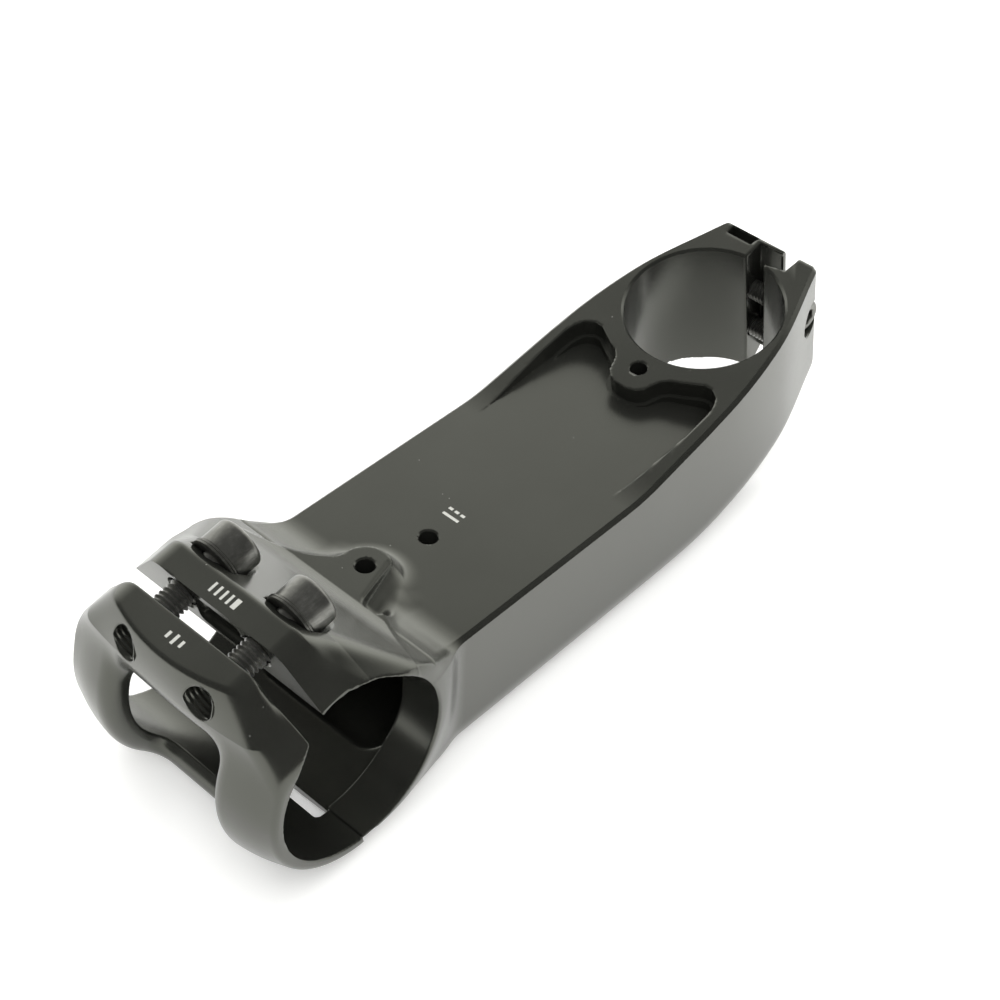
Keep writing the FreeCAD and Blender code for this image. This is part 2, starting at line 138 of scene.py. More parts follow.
def body_field(x, y, z):
    """The stem body. Negative inside, about a millimetre per millimetre near the skin."""
    u, v = x - BX, z - BZ
    X, Z = x * C + z * S, -x * S + z * C
    ay = np.abs(y)
    # neck
    width = (ay - np.interp(x, _fine, _wide)) * 0.97
    top = smin(z - 15.0, Z - 6.39, 0.8)
    low = smax(-15.0 - z, -20.0 - Z, 1.2)
    ends = -19.9 - x
    neck = np.maximum(np.maximum(top, width), (top + width) * 0.7071 + 0.52)
    neck = smax(neck, ends, 1.2)
    neck = smax(neck, low, 6.5)
    neck = np.maximum(neck, X - 104.0)
    # handlebar clamp: slope, lip, ring and lower arm
    nx, nz = -0.7606, 0.6493
    slope = (u + 2.6) * nx + (v - 24.3) * nz
    chamfer = (v + 1.2 * ay - 40.5) / 1.562
    ring_r = np.sqrt(u * u + v * v)
    head = smax(slope, v - 24.3, 0.5)
    head = smax(head, chamfer, 1.6 + 2.9 * np.clip((-u - 2.6) / 4.0, 0, 1))
    head = smax(head, (ring_r - 17.0 - 2.0 * (22.8 - ay)) / 2.236, 1.0)
    head = smax(head, ay - 22.8, 0.8)
    join = (ring_r - 20.0 + 0.34 * (ay - 15.8)) * 0.947 - 1.2 * np.maximum(1.5 - u, 0)
    head = np.where(v < 0, smax(head, join, 1.4), head)
    head = smax(head, -20.0 - Z, 5.5)
    head = smax(head, 88.6 - X, 3.0)
    front = np.where(v > 0, u - 2.2, u - 3.8)
    body = smax(smin(neck, head, 4.0), -20.0 - Z, 0.5)
    # ledge milled flat at the foot of the slope
    ledge = np.maximum(10.1 - Z, X - 94.4)
    ledge = np.maximum(ledge, 84.0 - X)
    body = smax(body, -ledge, 0.35)
    # boss with its tail running into the ledge
    bx = X - 87.4
    boss2 = np.sqrt(bx * bx + y * y) - 4.35
    tail = ay - (4.2 + 0.16 * np.maximum(bx, 0) ** 1.9)
    tail = np.maximum(smax(tail * 0.75, -bx, 2.5), bx - 9.0)
    boss2 = smin(boss2, tail, 0.8)
    boss = smax(boss2 + 0.30 * (Z - 10.1), Z - 10.1, 0.5)
    boss = np.maximum(boss, 3.0 - Z)
    body = smin(body, boss, 3.4)
    body = np.where((X < 94.3) & (X > 80) & (Z > 9.0), np.maximum(body, Z - 10.1), body)
    # bites: beside the boss, and the hollow of the lip's ends
    side_bite = capsule(X, y, Z, (83.8, 4.5, 10.4), (91.3, 6.9, 9.8), 2.3)
    body = smax(body, -side_bite, 0.8)
    for sign in (1, -1):
        scoop = capsule(u, sign * y, v, (-6.0, 21.5, 23.4), (-13.0, 26.5, 17.5), 6.5)
        body = smax(body, -scoop, 1.2)
    body = np.maximum(body, front)
    # cover pocket with its scalloped end wall and a step in the wall
    wall = poly(x, y, WALL)
    cut = np.minimum(np.maximum(wall, 11.6 - z), wall + 0.75)
    body = np.minimum(smax(body, -cut, 0.35), np.maximum(body, Z - 6.39))
    # bores with a small chamfer at their mouths
    steer = np.sqrt(x * x + y * y) - 14.3 - np.maximum(np.abs(z) - 14.55, 0) * 1.0
    body = np.maximum(body, -steer)
    body = smax(body, -(ring_r - 15.9), 0.55)
    body = smax(body, -np.maximum(np.maximum(ring_r - 17.2, ay - 14.7), v - 6.0), 0.3)
    # hollow of the neck
    hollow = rbox(X, y, Z, (58.0, -14.5, -15.5), (101.0, 14.5, 1.4), 5.0)
    body = smax(body, -hollow, 1.0)
    # clamp screw holes
    for sign in (1, -1):
        rad = np.sqrt((y - 8.0 * sign) ** 2 + (v - 20.6) ** 2)
        body = np.maximum(body, -(rad - 2.7 - np.maximum(u - 1.8, 0) * 0.8))
        body = smax(body, -np.maximum(rad - 4.85, u + 4.2), 0.35)
    # relief between the screws on the split face
    relief = rbox(u, y, v, (0.6, -5.0, 17.0), (6.0, 5.0, 23.2), 1.2)
    body = np.maximum(body, -relief)
    # split at the rear with its dog-leg, relief and screw holes
    split = poly(x, y, [(-12.0, -1.6), (-12.0, 2.2), (-14.8, 2.4), (-15.6, 6.2), (-24.0, 6.6), (-24.0, 3.3),
                        (-18.9, 3.2), (-18.6, -1.6)])
    body = smax(body, -split, 0.4)
    dent = np.maximum(poly(x, y, [(-17.3, -8.2), (-17.3, -2.9), (-19.2, -2.6), (-19.2, -8.4)]), 12.6 - z)
    body = smax(body, -dent, 0.4)
    for sign, high in ((1, 4.5), (-1, -5.5)):
        rad = np.sqrt((x + 16.7) ** 2 + (z - high) ** 2)
        near = y * sign
        body = np.maximum(body, -np.maximum(rad - 2.15, -near))
        body = np.maximum(body, -np.maximum(np.maximum(rad - 2.0, near), -near - 8.0))
        body = smax(body, -np.maximum(rad - 3.4, 6.6 - near), 0.3)
    # cover screw holes: countersunk M3
    rad = np.sqrt((x - 18.18) ** 2 + y * y)
    body = np.maximum(body, -np.maximum(rad - 1.5 - np.maximum(z - 14.75, 0) * 0.9, 7.0 - z))
    for hx, topz, deep in ((73.3, 6.39, 6.0), (87.4, 10.1, 9.5)):
        rad = np.sqrt((X - hx) ** 2 + y * y)
        body = np.maximum(body, -np.maximum(rad - 1.55 - np.maximum(Z - topz + 0.3, 0) * 0.9, topz - deep - Z))
    # grooves for the faceplate's hooks
    for sign in (1, -1):
        slot = rbox(u, sign * y, v, (1.2, 15.3, -18.55), (6.0, 19.2, -16.85), 0.3)
        body = np.maximum(body, -slot)
    return body


def cap_field(x, y, z):
    """The faceplate, about the bar axis."""
    u, v = x - BX, z - BZ
    ay = np.abs(y)
    X, Z = x * C + z * S, -x * S + z * C
    r = np.sqrt(u * u + v * v)
    uc = u + y * y * (0.004 + 0.011 * np.clip((v - 18.0) / 6.3, 0, 1))
    bar = smax_all(0.6, v - 24.3, 6.3 - u, (uc - 12.4) * 0.8797 + (v - 24.3) * 0.4755)
    bar = smax(bar, (uc - 14.4) * 0.997 + (v - 20.6) * 0.0767, 1.5)
    bar = smax(bar, 7.5 - v, 0.6)
    ring = smax(r - 20.0, (r - 20.0 + 0.34 * (ay - 15.8)) * 0.947, 1.4)
    cap = smin(bar, ring, 3.2)
    chamfer = (v + 1.25 * ay - 41.8) / 1.6
    cap = smax(cap, chamfer, 2.2)
    cap = smax(cap, ay - 22.8, 0.9)
    # ends: rear face above, lower joint, floor
    low = np.where(v < 3.0, 3.85 - u, 6.3 - u)
    low = np.where(v < 0.0, low, 6.3 - u)
    cap = smax(cap, low, 0.4)
    cap = np.maximum(cap, -20.0 - Z)
    # window
    a, b = math.radians(44.0), math.radians(-39.0)
    upper = -u * math.sin(a) + v * math.cos(a)
    under = u * math.sin(b) - v * math.cos(b)
    window = smax_all(4.0, ay - 11.2, upper, under)
    window = np.maximum(window, -u)
    cap = smax(cap, -window, 3.0)
    # gap in the middle of the lower joint
    notch = rbox(u, y, v, (-2.0, -15.2, -24.0), (6.4, 15.2, -12.0), 0.8)
    cap = np.maximum(cap, -notch)
    cap = smax(cap, -(r - 15.9), 0.35)
    for sign in (1, -1):
        rad = np.sqrt((y - 8.0 * sign) ** 2 + (v - 20.6) ** 2)
        cap = smax(cap, -(rad - 2.62), 0.3)
        hook = rbox(u, sign * y, v, (2.1, 15.7, -18.35), (5.2, 18.9, -17.05), 0.35)
        cap = np.minimum(cap, hook)
    return cap


# ------------------------------------------------------------------ mesher
def polygonise(field, lo, hi, h, name, keep):
    """Dual contouring: one vertex per crossed cell, pulled on to sharp edges."""
    n = [int(math.ceil((b - a) / h)) + 1 for a, b in zip(lo, hi)]
    ax = [lo[i] + h * np.arange(n[i]) for i in range(3)]
    slabs = []
    step = 40
    for i in range(0, n[0], step):
        slabs.append(field(ax[0][i:i + step, None, None], ax[1][None, :, None], ax[2][None, None, :]).astype(np.float32))
    d = np.concatenate(slabs, 0)
    d[0], d[-1] = np.maximum(d[0], 0.01), np.maximum(d[-1], 0.01)
    cells = (n[0] - 1, n[1] - 1, n[2] - 1)
    ids, pos, quads, flips = [], [], [], []
    inside = d < 0
    for axis in range(3):
        a = [slice(None)] * 3
        b = [slice(None)] * 3
        a[axis], b[axis] = slice(0, -1), slice(1, None)
        cross = inside[tuple(a)] != inside[tuple(b)]
        i, j, k = np.nonzero(cross)
        o1, o2 = (axis + 1) % 3, (axis + 2) % 3
        g = np.stack([i, j, k], 1)
        ok = (g[:, o1] > 0) & (g[:, o2] > 0) & (g[:, o1] < n[o1] - 1) & (g[:, o2] < n[o2] - 1)
        g = g[ok]
        e = g.copy()
        e[:, axis] += 1
        d0 = d[g[:, 0], g[:, 1], g[:, 2]].astype(float)
        d1 = d[e[:, 0], e[:, 1], e[:, 2]].astype(float)
        p = np.stack([ax[c][g[:, c]] for c in range(3)], 1)
        t0, t1 = np.zeros(len(p)), np.ones(len(p))
        t = d0 / (d0 - d1)
        for _ in range(2):
            q = p.copy()
            q[:, axis] += t * h
            dm = field(q[:, 0], q[:, 1], q[:, 2])
            same = (dm < 0) == (d0 < 0)
            t0, d0 = np.where(same, t, t0), np.where(same, dm, d0)
            t1, d1 = np.where(same, t1, t), np.where(same, d1, dm)
            den = d0 - d1
            t = np.where(np.abs(den) > 1e-9, t0 + (t1 - t0) * d0 / np.where(np.abs(den) > 1e-9, den, 1), (t0 + t1) / 2)
        p[:, axis] += t * h
        pos.append(p)
        four = []
        for s1, s2 in ((-1, -1), (0, -1), (0, 0), (-1, 0)):
            c = g.copy()
            c[:, o1] += s1
            c[:, o2] += s2
            four.append((c[:, 0] * cells[1] + c[:, 1]) * cells[2] + c[:, 2])
        ids.append(np.stack(four, 1))
        flips.append(~inside[g[:, 0], g[:, 1], g[:, 2]])
    pos = np.concatenate(pos)
    ids = np.concatenate(ids)
    flips = np.concatenate(flips)
    grad = gradient(field, pos, 0.02)
    uniq, inv = np.unique(ids.ravel(), return_inverse=True)
    inv = inv.reshape(ids.shape)
    cnt = len(uniq)
    P4 = np.repeat(pos, 4, 0)
    N4 = np.repeat(grad, 4, 0)
    flat = inv.ravel()
    num = np.bincount(flat, minlength=cnt).astype(float)
    mass = np.stack([np.bincount(flat, P4[:, c], cnt) / num for c in range(3)], 1)
    rel = P4 - mass[flat]
    nd = (N4 * rel).sum(1)
    A = np.zeros((cnt, 3, 3))
    for a in range(3):
        for b in range(a, 3):
            A[:, a, b] = A[:, b, a] = np.bincount(flat, N4[:, a] * N4[:, b], cnt)
    rhs = np.stack([np.bincount(flat, N4[:, c] * nd, cnt) for c in range(3)], 1)
    A[:, [0, 1, 2], [0, 1, 2]] += 0.06
    move = np.linalg.solve(A, rhs[:, :, None])[:, :, 0]
    ci = np.stack([uniq // (cells[1] * cells[2]), (uniq // cells[2]) % cells[1], uniq % cells[2]], 1)
    base = np.stack([ax[c][ci[:, c]] for c in range(3)], 1)
    verts = np.clip(mass + move, base, base + h)
    quads = inv.copy()
    quads[flips] = quads[flips][:, ::-1]
    mesh = bpy.data.meshes.new(name)
    mesh.vertices.add(cnt)
    mesh.vertices.foreach_set("co", verts.astype(np.float32).ravel())
    mesh.loops.add(quads.size)
    mesh.loops.foreach_set("vertex_index", quads.astype(np.int32).ravel())
    mesh.polygons.add(len(quads))
    mesh.polygons.foreach_set("loop_start", np.arange(0, quads.size, 4, dtype=np.int32))
    mesh.update(calc_edges=True)
    mesh.validate()
    obj = bpy.data.objects.new(name, mesh)
    bpy.context.scene.collection.objects.link(obj)
    tris = len(quads) * 2
    if tris > keep:
        thin = obj.modifiers.new("thin", "DECIMATE")
        thin.ratio = keep / tris
        apply_modifiers(obj)
    return obj


def gradient(field, p, eps):
    g = np.empty_like(p)
    for c in range(3):
        q = p.copy()
        q[:, c] += eps
        hi = field(q[:, 0], q[:, 1], q[:, 2])
        q[:, c] -= 2 * eps
        g[:, c] = hi - field(q[:, 0], q[:, 1], q[:, 2])
    return g / np.maximum(np.linalg.norm(g, axis=1, keepdims=True), 1e-12)


def apply_modifiers(obj):
    dg = bpy.context.evaluated_depsgraph_get()
    done = bpy.data.meshes.new_from_object(obj.evaluated_get(dg))
    obj.modifiers.clear()
    old = obj.data
    obj.data = done
    done.name = obj.name
    bpy.data.meshes.remove(old)


def shade_from_field(obj, field):
    """Corner normals from the field, read a little inside each face, so that edges stay crisp."""
    mesh = obj.data
    nv, nl, npoly = len(mesh.vertices), len(mesh.loops), len(mesh.polygons)
    co = np.empty(nv * 3, np.float32)
    mesh.vertices.foreach_get("co", co)
    co = co.reshape(-1, 3).astype(float)
    vi = np.empty(nl, np.int32)
    mesh.loops.foreach_get("vertex_index", vi)
    tot = np.empty(npoly, np.int32)
    mesh.polygons.foreach_get("loop_total", tot)
    mid = np.empty(npoly * 3, np.float32)
    mesh.polygons.foreach_get("center", mid)
    mid = np.repeat(mid.reshape(-1, 3).astype(float), tot, 0)
    fn = np.empty(npoly * 3, np.float32)
    mesh.polygons.foreach_get("normal", fn)
    fn = np.repeat(fn.reshape(-1, 3).astype(float), tot, 0)
    p = co[vi]
    way = mid - p
    dist = np.linalg.norm(way, axis=1, keepdims=True)
    q = p + way / np.maximum(dist, 1e-9) * np.minimum(dist * 0.5, 0.09)
    nrm = gradient(field, q, 0.03)
    bad = (nrm * fn).sum(1) < 0.55
    nrm[bad] = fn[bad]
    mesh.shade_smooth() if hasattr(mesh, "shade_smooth") else None
    mesh.polygons.foreach_set("use_smooth", np.ones(npoly, bool))
    return nrm


def finish_field_piece(obj, field):
    nrm = shade_from_field(obj, field)
    mesh = obj.data
    co = np.empty(len(mesh.vertices) * 3, np.float32)
    mesh.vertices.foreach_get("co", co)
    mesh.vertices.foreach_set("co", to_row(co.reshape(-1, 3)).astype(np.float32).ravel())
    nr = to_row(nrm) * 1000.0
    mesh.update()
    mesh.normals_split_custom_set([tuple(v) for v in nr.tolist()])
    mesh.update()


# ------------------------------------------------------------------ screws
def lathe(profile, steps=96, axis_len=None):
    """Vertices and faces of a closed turned solid from (along, radius) points."""
    verts, faces = [], []
    rings = []
    for a, r in profile:
        if r < 1e-6:
            rings.append([len(verts)])
            verts.append((a, 0.0, 0.0))
        else:
            start = len(verts)
            for k in range(steps):
                t = 2 * math.pi * k / steps
                verts.append((a, r * math.cos(t), r * math.sin(t)))
            rings.append(list(range(start, start + steps)))
    for p, q in zip(rings, rings[1:]):
        for k in range(steps):
            k2 = (k + 1) % steps
            if len(p) == 1:
                faces.append((p[0], q[k2], q[k]))
            elif len(q) == 1:
                faces.append((p[k], p[k2], q[0]))
            else:
                faces.append((p[k], p[k2], q[k2], q[k]))
    return verts, faces


def new_piece(name, verts, faces, place):
    """Builds a mesh whose local X is place's first axis, in mm, and moves it into the row frame."""
    mesh = bpy.data.meshes.new(name)
    mesh.from_pydata([tuple(place(v)) for v in verts], [], faces)
    mesh.validate()
    obj = bpy.data.objects.new(name, mesh)
    bpy.context.scene.collection.objects.link(obj)
    return obj


def merge(parts):
    verts, faces = [], []
    for v, f in parts:
        off = len(verts)
        verts += v
        faces += [tuple(i + off for i in q) for q in f]
    return verts, faces


def screw_mesh(head_r, head_l, rad, length, flat, depth, pitch, groove, steps=96):
    """Socket head screw along +X with its head's underside at 0: knurl-free turned head,
    hexagonal socket and a helical thread, one closed surface."""
    # rows run from the socket's floor, up its wall, over the head and down the thread
    verts, faces, rings = [], [], []
    hexr = flat / math.sqrt(3.0)

    def hexagon(t):
        t = (t + math.pi / 6) % (math.pi / 3) - math.pi / 6
        return flat / 2 / math.cos(t)

    def ring(a, fn):
        start = len(verts)
        for k in range(steps):
            t = 2 * math.pi * k / steps
            r = fn(t) if callable(fn) else fn
            av = a(t) if callable(a) else a
            verts.append((av, r * math.cos(t), r * math.sin(t)))
        rings.append(list(range(start, start + steps)))

    def point(a):
        rings.append([len(verts)])
        verts.append((a, 0.0, 0.0))

    back = -head_l
    point(back + depth + 0.5)
    ring(back + depth + 0.25, flat * 0.25)
    ring(back + depth, lambda t: hexagon(t) * 0.98)
    ring(back + depth - 0.08, hexagon)
    ring(back + 0.30, hexagon)
    ring(back + 0.12, lambda t: hexagon(t) + 0.04)
    ring(back + 0.02, lambda t: max(hexagon(t) + 0.14, hexr * 1.0))
    ring(back, lambda t: hexr + 0.24)
    edge = min(0.9, head_r * 0.22)
    ring(back, head_r - edge - 0.12)
    for k in range(0, 8):
        t = math.radians(90 * k / 7)
        ring(back + edge * (1 - math.cos(t)), head_r - edge + edge * math.sin(t))
    ring(back + edge + 0.1, head_r)
    ring(-0.35, head_r)
    ring(-0.12, head_r - 0.03)
    ring(0.0, head_r - 0.16)
    ring(0.0, rad + 0.45)
    ring(0.12, rad + 0.10)
    ring(0.42, rad - 0.02)
    ring(1.1, rad - 0.02)
    per = 12
    a = 1.1
    end = length - 0.5
    rows = int((end - a) / pitch * per)
    for i in range(1, rows + 1):
        pos = a + (end - a) * i / rows

        def r_at(t, pos=pos):
            ph = (pos / pitch - t / (2 * math.pi)) % 1.0
            tri = abs(ph - 0.5) * 2.0
            depth_now = groove * min(max((tri - 0.12) / 0.72, 0.0), 1.0)
            fade = min(1.0, (pos - a) / (pitch * 1.2)) * min(1.0, (end - pos) / (pitch * 0.6) + 0.2)
            return rad - depth_now * fade
        ring(pos, r_at)
    ring(length - 0.15, rad - groove - 0.1)
    ring(length, rad - groove - 0.3)
    point(length)
    for p, q in zip(rings, rings[1:]):
        for k in range(steps):
            k2 = (k + 1) % steps
            if len(p) == 1:
                faces.append((p[0], q[k2], q[k]))
            elif len(q) == 1:
                faces.append((p[k], p[k2], q[0]))
            else:
                faces.append((p[k], p[k2], q[k2], q[k]))
    return verts, faces


def nut_thread(a0, mouth, bore, crest, wall, pitch, lead_in=0.5, steps=80):
    """A closed threaded sleeve lining a tapped hole: crest is the small radius, bore the root.
    mouth(y, z) is where the sleeve ends along its axis."""
    verts, faces, rings = [], [], []
    per = 12
    ends = [mouth(bore * math.cos(2 * math.pi * k / steps), bore * math.sin(2 * math.pi * k / steps)) for k in range(steps)]
    rows = int((max(ends) - a0) / pitch * per)

    def ring(share, fn):
        start = len(verts)
        for k in range(steps):
            t = 2 * math.pi * k / steps
            a = a0 + (ends[k] - a0) * share
            r = fn(t, a, ends[k]) if callable(fn) else fn
            verts.append((a, r * math.cos(t), r * math.sin(t)))
        rings.append(list(range(start, start + steps)))

    def r_at(t, pos, end):
        ph = (pos / pitch - t / (2 * math.pi)) % 1.0
        tri = abs(ph - 0.5) * 2.0
        cut = (bore - crest) * min(max((tri - 0.12) / 0.72, 0.0), 1.0)
        open_up = max(0.0, 1 - min(pos - a0, end - pos) / lead_in) * (bore - crest)
        return min(bore, bore - cut + open_up)
    ring(0.0, wall)
    for i in range(rows + 1):
        ring(i / rows, r_at)
    ring(1.0, wall)
    for p, q in zip(rings, rings[1:] + rings[:1]):
        for k in range(steps):
            k2 = (k + 1) % steps
            faces.append((p[k], p[k2], q[k2], q[k]))
    return verts, faces


def mouth_front(y, v):
    """Where the faceplate bar's front surface stands, in mm ahead of the handlebar axis."""
    crown = y * y * (0.004 + 0.011 * min(max((v - 18.0) / 6.3, 0), 1))
    return min(12.4 + (24.3 - v) * 0.5405, 14.4 + (20.6 - v) * 0.0769) - crown


def placer(origin, ax, ay_, az_):
    o, a, b, c = [np.asarray(v, float) for v in (origin, ax, ay_, az_)]

    def go(p):
        q = o + a * p[0] + b * p[1] + c * p[2]
        return to_row(q[None, :])[0]
    return go


def smooth(obj, angle=32.0, outward=True):
    bm = bmesh.new()
    bm.from_mesh(obj.data)
    bmesh.ops.recalc_face_normals(bm, faces=bm.faces)
    bm.to_mesh(obj.data)
    bm.free()
    obj.data.polygons.foreach_set("use_smooth", np.ones(len(obj.data.polygons), bool))
    obj.data.set_sharp_from_angle(angle=math.radians(angle))
    obj.data.update()
    return obj


# ------------------------------------------------------------------ materials
def nodes_of(name):
    mat = bpy.data.materials.new(name)
    mat.use_nodes = True
    nt = mat.node_tree
    bsdf = nt.nodes["Principled BSDF"]
    return mat, nt, bsdf


def node(nt, kind, **inputs):
    nd = nt.nodes.new(kind)
    for key, val in inputs.items():
        if key in nd.inputs:
            nd.inputs[key].default_value = val
    return nd


def noise(nt, coord, scale, detail=4.0, rough=0.6, stretch=None):
    if stretch is not None:
        mp = nt.nodes.new("ShaderNodeMapping")
        mp.inputs["Scale"].default_value = stretch
        nt.links.new(coord, mp.inputs["Vector"])
        coord = mp.outputs["Vector"]
    nz = nt.nodes.new("ShaderNodeTexNoise")
    nz.inputs["Scale"].default_value = scale
    nz.inputs["Detail"].default_value = detail
    nz.inputs["Roughness"].default_value = rough
    nt.links.new(coord, nz.inputs["Vector"])
    return nz.outputs["Fac"]


def ramp(nt, src, stops):
    rp = nt.nodes.new("ShaderNodeValToRGB")
    el = rp.color_ramp.elements
    while len(el) < len(stops):
        el.new(0.5)
    for e, (pos, col) in zip(el, stops):
        e.position = pos
        e.color = (col, col, col, 1) if not isinstance(col, tuple) else (*col, 1)
    nt.links.new(src, rp.inputs["Fac"])
    return rp.outputs["Color"]


def mixf(nt, kind, a, b, clamp=False):
    mt = nt.nodes.new("ShaderNodeMath")
    mt.operation = kind
    mt.use_clamp = clamp
    for i, v in enumerate((a, b)):
        if hasattr(v, "links"):
            nt.links.new(v, mt.inputs[i])
        else:
            mt.inputs[i].default_value = v
    return mt.outputs[0]


def mixc(nt, fac, a, b):
    mx = nt.nodes.new("ShaderNodeMix")
    mx.data_type = "RGBA"
    if hasattr(fac, "links"):
        nt.links.new(fac, mx.inputs[0])
    else:
        mx.inputs[0].default_value = fac
    for i, v in ((6, a), (7, b)):
        if hasattr(v, "links"):
            nt.links.new(v, mx.inputs[i])
        else:
            mx.inputs[i].default_value = (*v, 1)
    return mx.outputs[2]


def anodised(name, marks=()):
    """Satin black anodised aluminium: bead-blasted grain, faint cloudiness, dust and hairline scratches.
    marks are small white printed dashes given as (centre, half sizes, axes) in the row frame, in metres."""
    mat, nt, bsdf = nodes_of(name)
    co = nt.nodes.new("ShaderNodeTexCoord").outputs["Object"]
    cloud = noise(nt, co, 55.0, 3.0)
    grain = noise(nt, co, 5200.0, 2.0)
    base = mixc(nt, ramp(nt, cloud, [(0.30, 0.0), (0.70, 1.0)]), (0.0125, 0.0128, 0.0112), (0.0175, 0.0180, 0.0158))
    # dust: sparse pale specks
    vor = nt.nodes.new("ShaderNodeTexVoronoi")
    vor.inputs["Scale"].default_value = 620.0
    nt.links.new(co, vor.inputs["Vector"])
    pick = nt.nodes.new("ShaderNodeSeparateColor")
    nt.links.new(vor.outputs["Color"], pick.inputs[0])
    few = mixf(nt, "GREATER_THAN", pick.outputs[0], 0.965)
    near = mixf(nt, "LESS_THAN", vor.outputs["Distance"], 0.055)
    speck = mixf(nt, "MULTIPLY", few, near)
    base = mixc(nt, mixf(nt, "MULTIPLY", speck, 0.55), base, (0.42, 0.42, 0.40))
    # hairline scratches in two directions
    lines = None
    for turn, sc in ((0.5, 1.0), (-0.9, 0.8)):
        mp = nt.nodes.new("ShaderNodeMapping")
        mp.inputs["Rotation"].default_value = (0.2, 0.3, turn)
        mp.inputs["Scale"].default_value = (60 * sc, 3800 * sc, 900)
        nt.links.new(co, mp.inputs["Vector"])
        nz = nt.nodes.new("ShaderNodeTexNoise")
        nz.inputs["Scale"].default_value = 1.0
        nz.inputs["Detail"].default_value = 1.0
        nt.links.new(mp.outputs["Vector"], nz.inputs["Vector"])
        one = ramp(nt, nz.outputs["Fac"], [(0.79, 0.0), (0.84, 1.0)])
        lines = one if lines is None else mixf(nt, "MAXIMUM", lines, one)
    base = mixc(nt, mixf(nt, "MULTIPLY", lines, 0.2), base, (0.11, 0.11, 0.105))
    rough = mixf(nt, "ADD", mixf(nt, "MULTIPLY", cloud, 0.08), 0.20)
    for centre, size, axes in marks:
        inside = None
        sub = nt.nodes.new("ShaderNodeVectorMath")
        sub.operation = "SUBTRACT"
        nt.links.new(co, sub.inputs[0])
        sub.inputs[1].default_value = centre
        for half, axis in zip(size, axes):
            dot = nt.nodes.new("ShaderNodeVectorMath")
            dot.operation = "DOT_PRODUCT"
            nt.links.new(sub.outputs[0], dot.inputs[0])
            dot.inputs[1].default_value = axis
            dist = mixf(nt, "ABSOLUTE", dot.outputs["Value"], 0.0)
            ok = mixf(nt, "LESS_THAN", dist, half)
            inside = ok if inside is None else mixf(nt, "MULTIPLY", inside, ok)
        base = mixc(nt, inside, base, (0.50, 0.50, 0.47))
        rough = mixf(nt, "ADD", rough, mixf(nt, "MULTIPLY", inside, 0.2))
    nt.links.new(base, bsdf.inputs["Base Color"])
    nt.links.new(rough, bsdf.inputs["Roughness"])
    bsdf.inputs["Metallic"].default_value = 0.0
    bsdf.inputs["IOR"].default_value = 1.5
    bsdf.inputs["Specular IOR Level"].default_value = 1.0
    bsdf.inputs["Specular Tint"].default_value = (0.98, 1.0, 0.88, 1)
    bump = nt.nodes.new("ShaderNodeBump")
    bump.inputs["Strength"].default_value = 0.10
    bump.inputs["Distance"].default_value = 0.00006
    nt.links.new(grain, bump.inputs["Height"])
    nt.links.new(bump.outputs["Normal"], bsdf.inputs["Normal"])
    return mat


def steel(name, dark, rough0):
    """Blackened steel: worn lighter in streaks and patches."""
    mat, nt, bsdf = nodes_of(name)
    co = nt.nodes.new("ShaderNodeTexCoord").outputs["Object"]
    patch = noise(nt, co, 420.0, 6.0, 0.65)
    streak = noise(nt, co, 1.0, 4.0, 0.7, (300, 2600, 2600))
    wear = mixf(nt, "MULTIPLY", ramp(nt, patch, [(0.42, 0.0), (0.68, 1.0)]), ramp(nt, streak, [(0.35, 0.2), (0.65, 1.0)]))
    base = mixc(nt, wear, tuple(dark), tuple(min(1, c * 1.7 + 0.02) for c in dark))
    nt.links.new(base, bsdf.inputs["Base Color"])
    nt.links.new(mixf(nt, "ADD", mixf(nt, "MULTIPLY", patch, 0.12), rough0), bsdf.inputs["Roughness"])
    bsdf.inputs["Metallic"].default_value = 0.85
    bump = nt.nodes.new("ShaderNodeBump")
    bump.inputs["Strength"].default_value = 0.25
    bump.inputs["Distance"].default_value = 0.00008
    nt.links.new(streak, bump.inputs["Height"])
    nt.links.new(bump.outputs["Normal"], bsdf.inputs["Normal"])
    return mat


def give(obj, mat):
    obj.data.materials.clear()
    obj.data.materials.append(mat)


U_ROW = (C, 0.0, -S)
V_ROW = (S, 0.0, C)


def mark_at(u, y, v, hu, hy, dirs):
    p = to_row(np.array([[BX + u, y, BZ + v]]))[0]
    return tuple(float(a) for a in p), (hu, hy, 0.0006), dirs


marks = []
# length tick row on the lip: a scale of dashes across the flat
for i, (yy, hw) in enumerate([(-3.2, 0.00022), (-2.0, 0.00022), (-0.8, 0.00022), (0.4, 0.00022), (1.7, 0.00045)]):
    marks.append(mark_at(-0.2, yy + 0.6, 24.3, 0.0009, hw, (U_ROW, (0, 1, 0), V_ROW)))
face_marks = []
for yy in (-1.9, -0.6, 0.7):
    face_marks.append(((0.0660 + 0.0, yy / 1000, 0.00639), (0.00028, 0.00042, 0.0006), ((1, 0, 0), (0, 1, 0), (0, 0, 1))))
face_marks.append(((0.0675, -0.0006, 0.00639), (0.00028, 0.0017, 0.0006), ((1, 0, 0), (0, 1, 0), (0, 0, 1))))
cap_marks = []
for yy, hu in ((-1.4, 0.0006), (0.0, 0.0009), (1.4, 0.0006)):
    cap_marks.append(mark_at(9.3, yy - 0.2, 24.3, hu, 0.00026, (U_ROW, (0, 1, 0), V_ROW)))

mat_body = anodised("black_alloy_body", marks + face_marks)
mat_cap = anodised("black_alloy_faceplate", cap_marks)
mat_screw = steel("dark_steel_screw", (0.150, 0.150, 0.138), 0.24)
mat_thread = steel("dark_steel_thread", (0.150, 0.148, 0.135), 0.22)
mat_washer = steel("washer_steel", (0.110, 0.110, 0.100), 0.30)

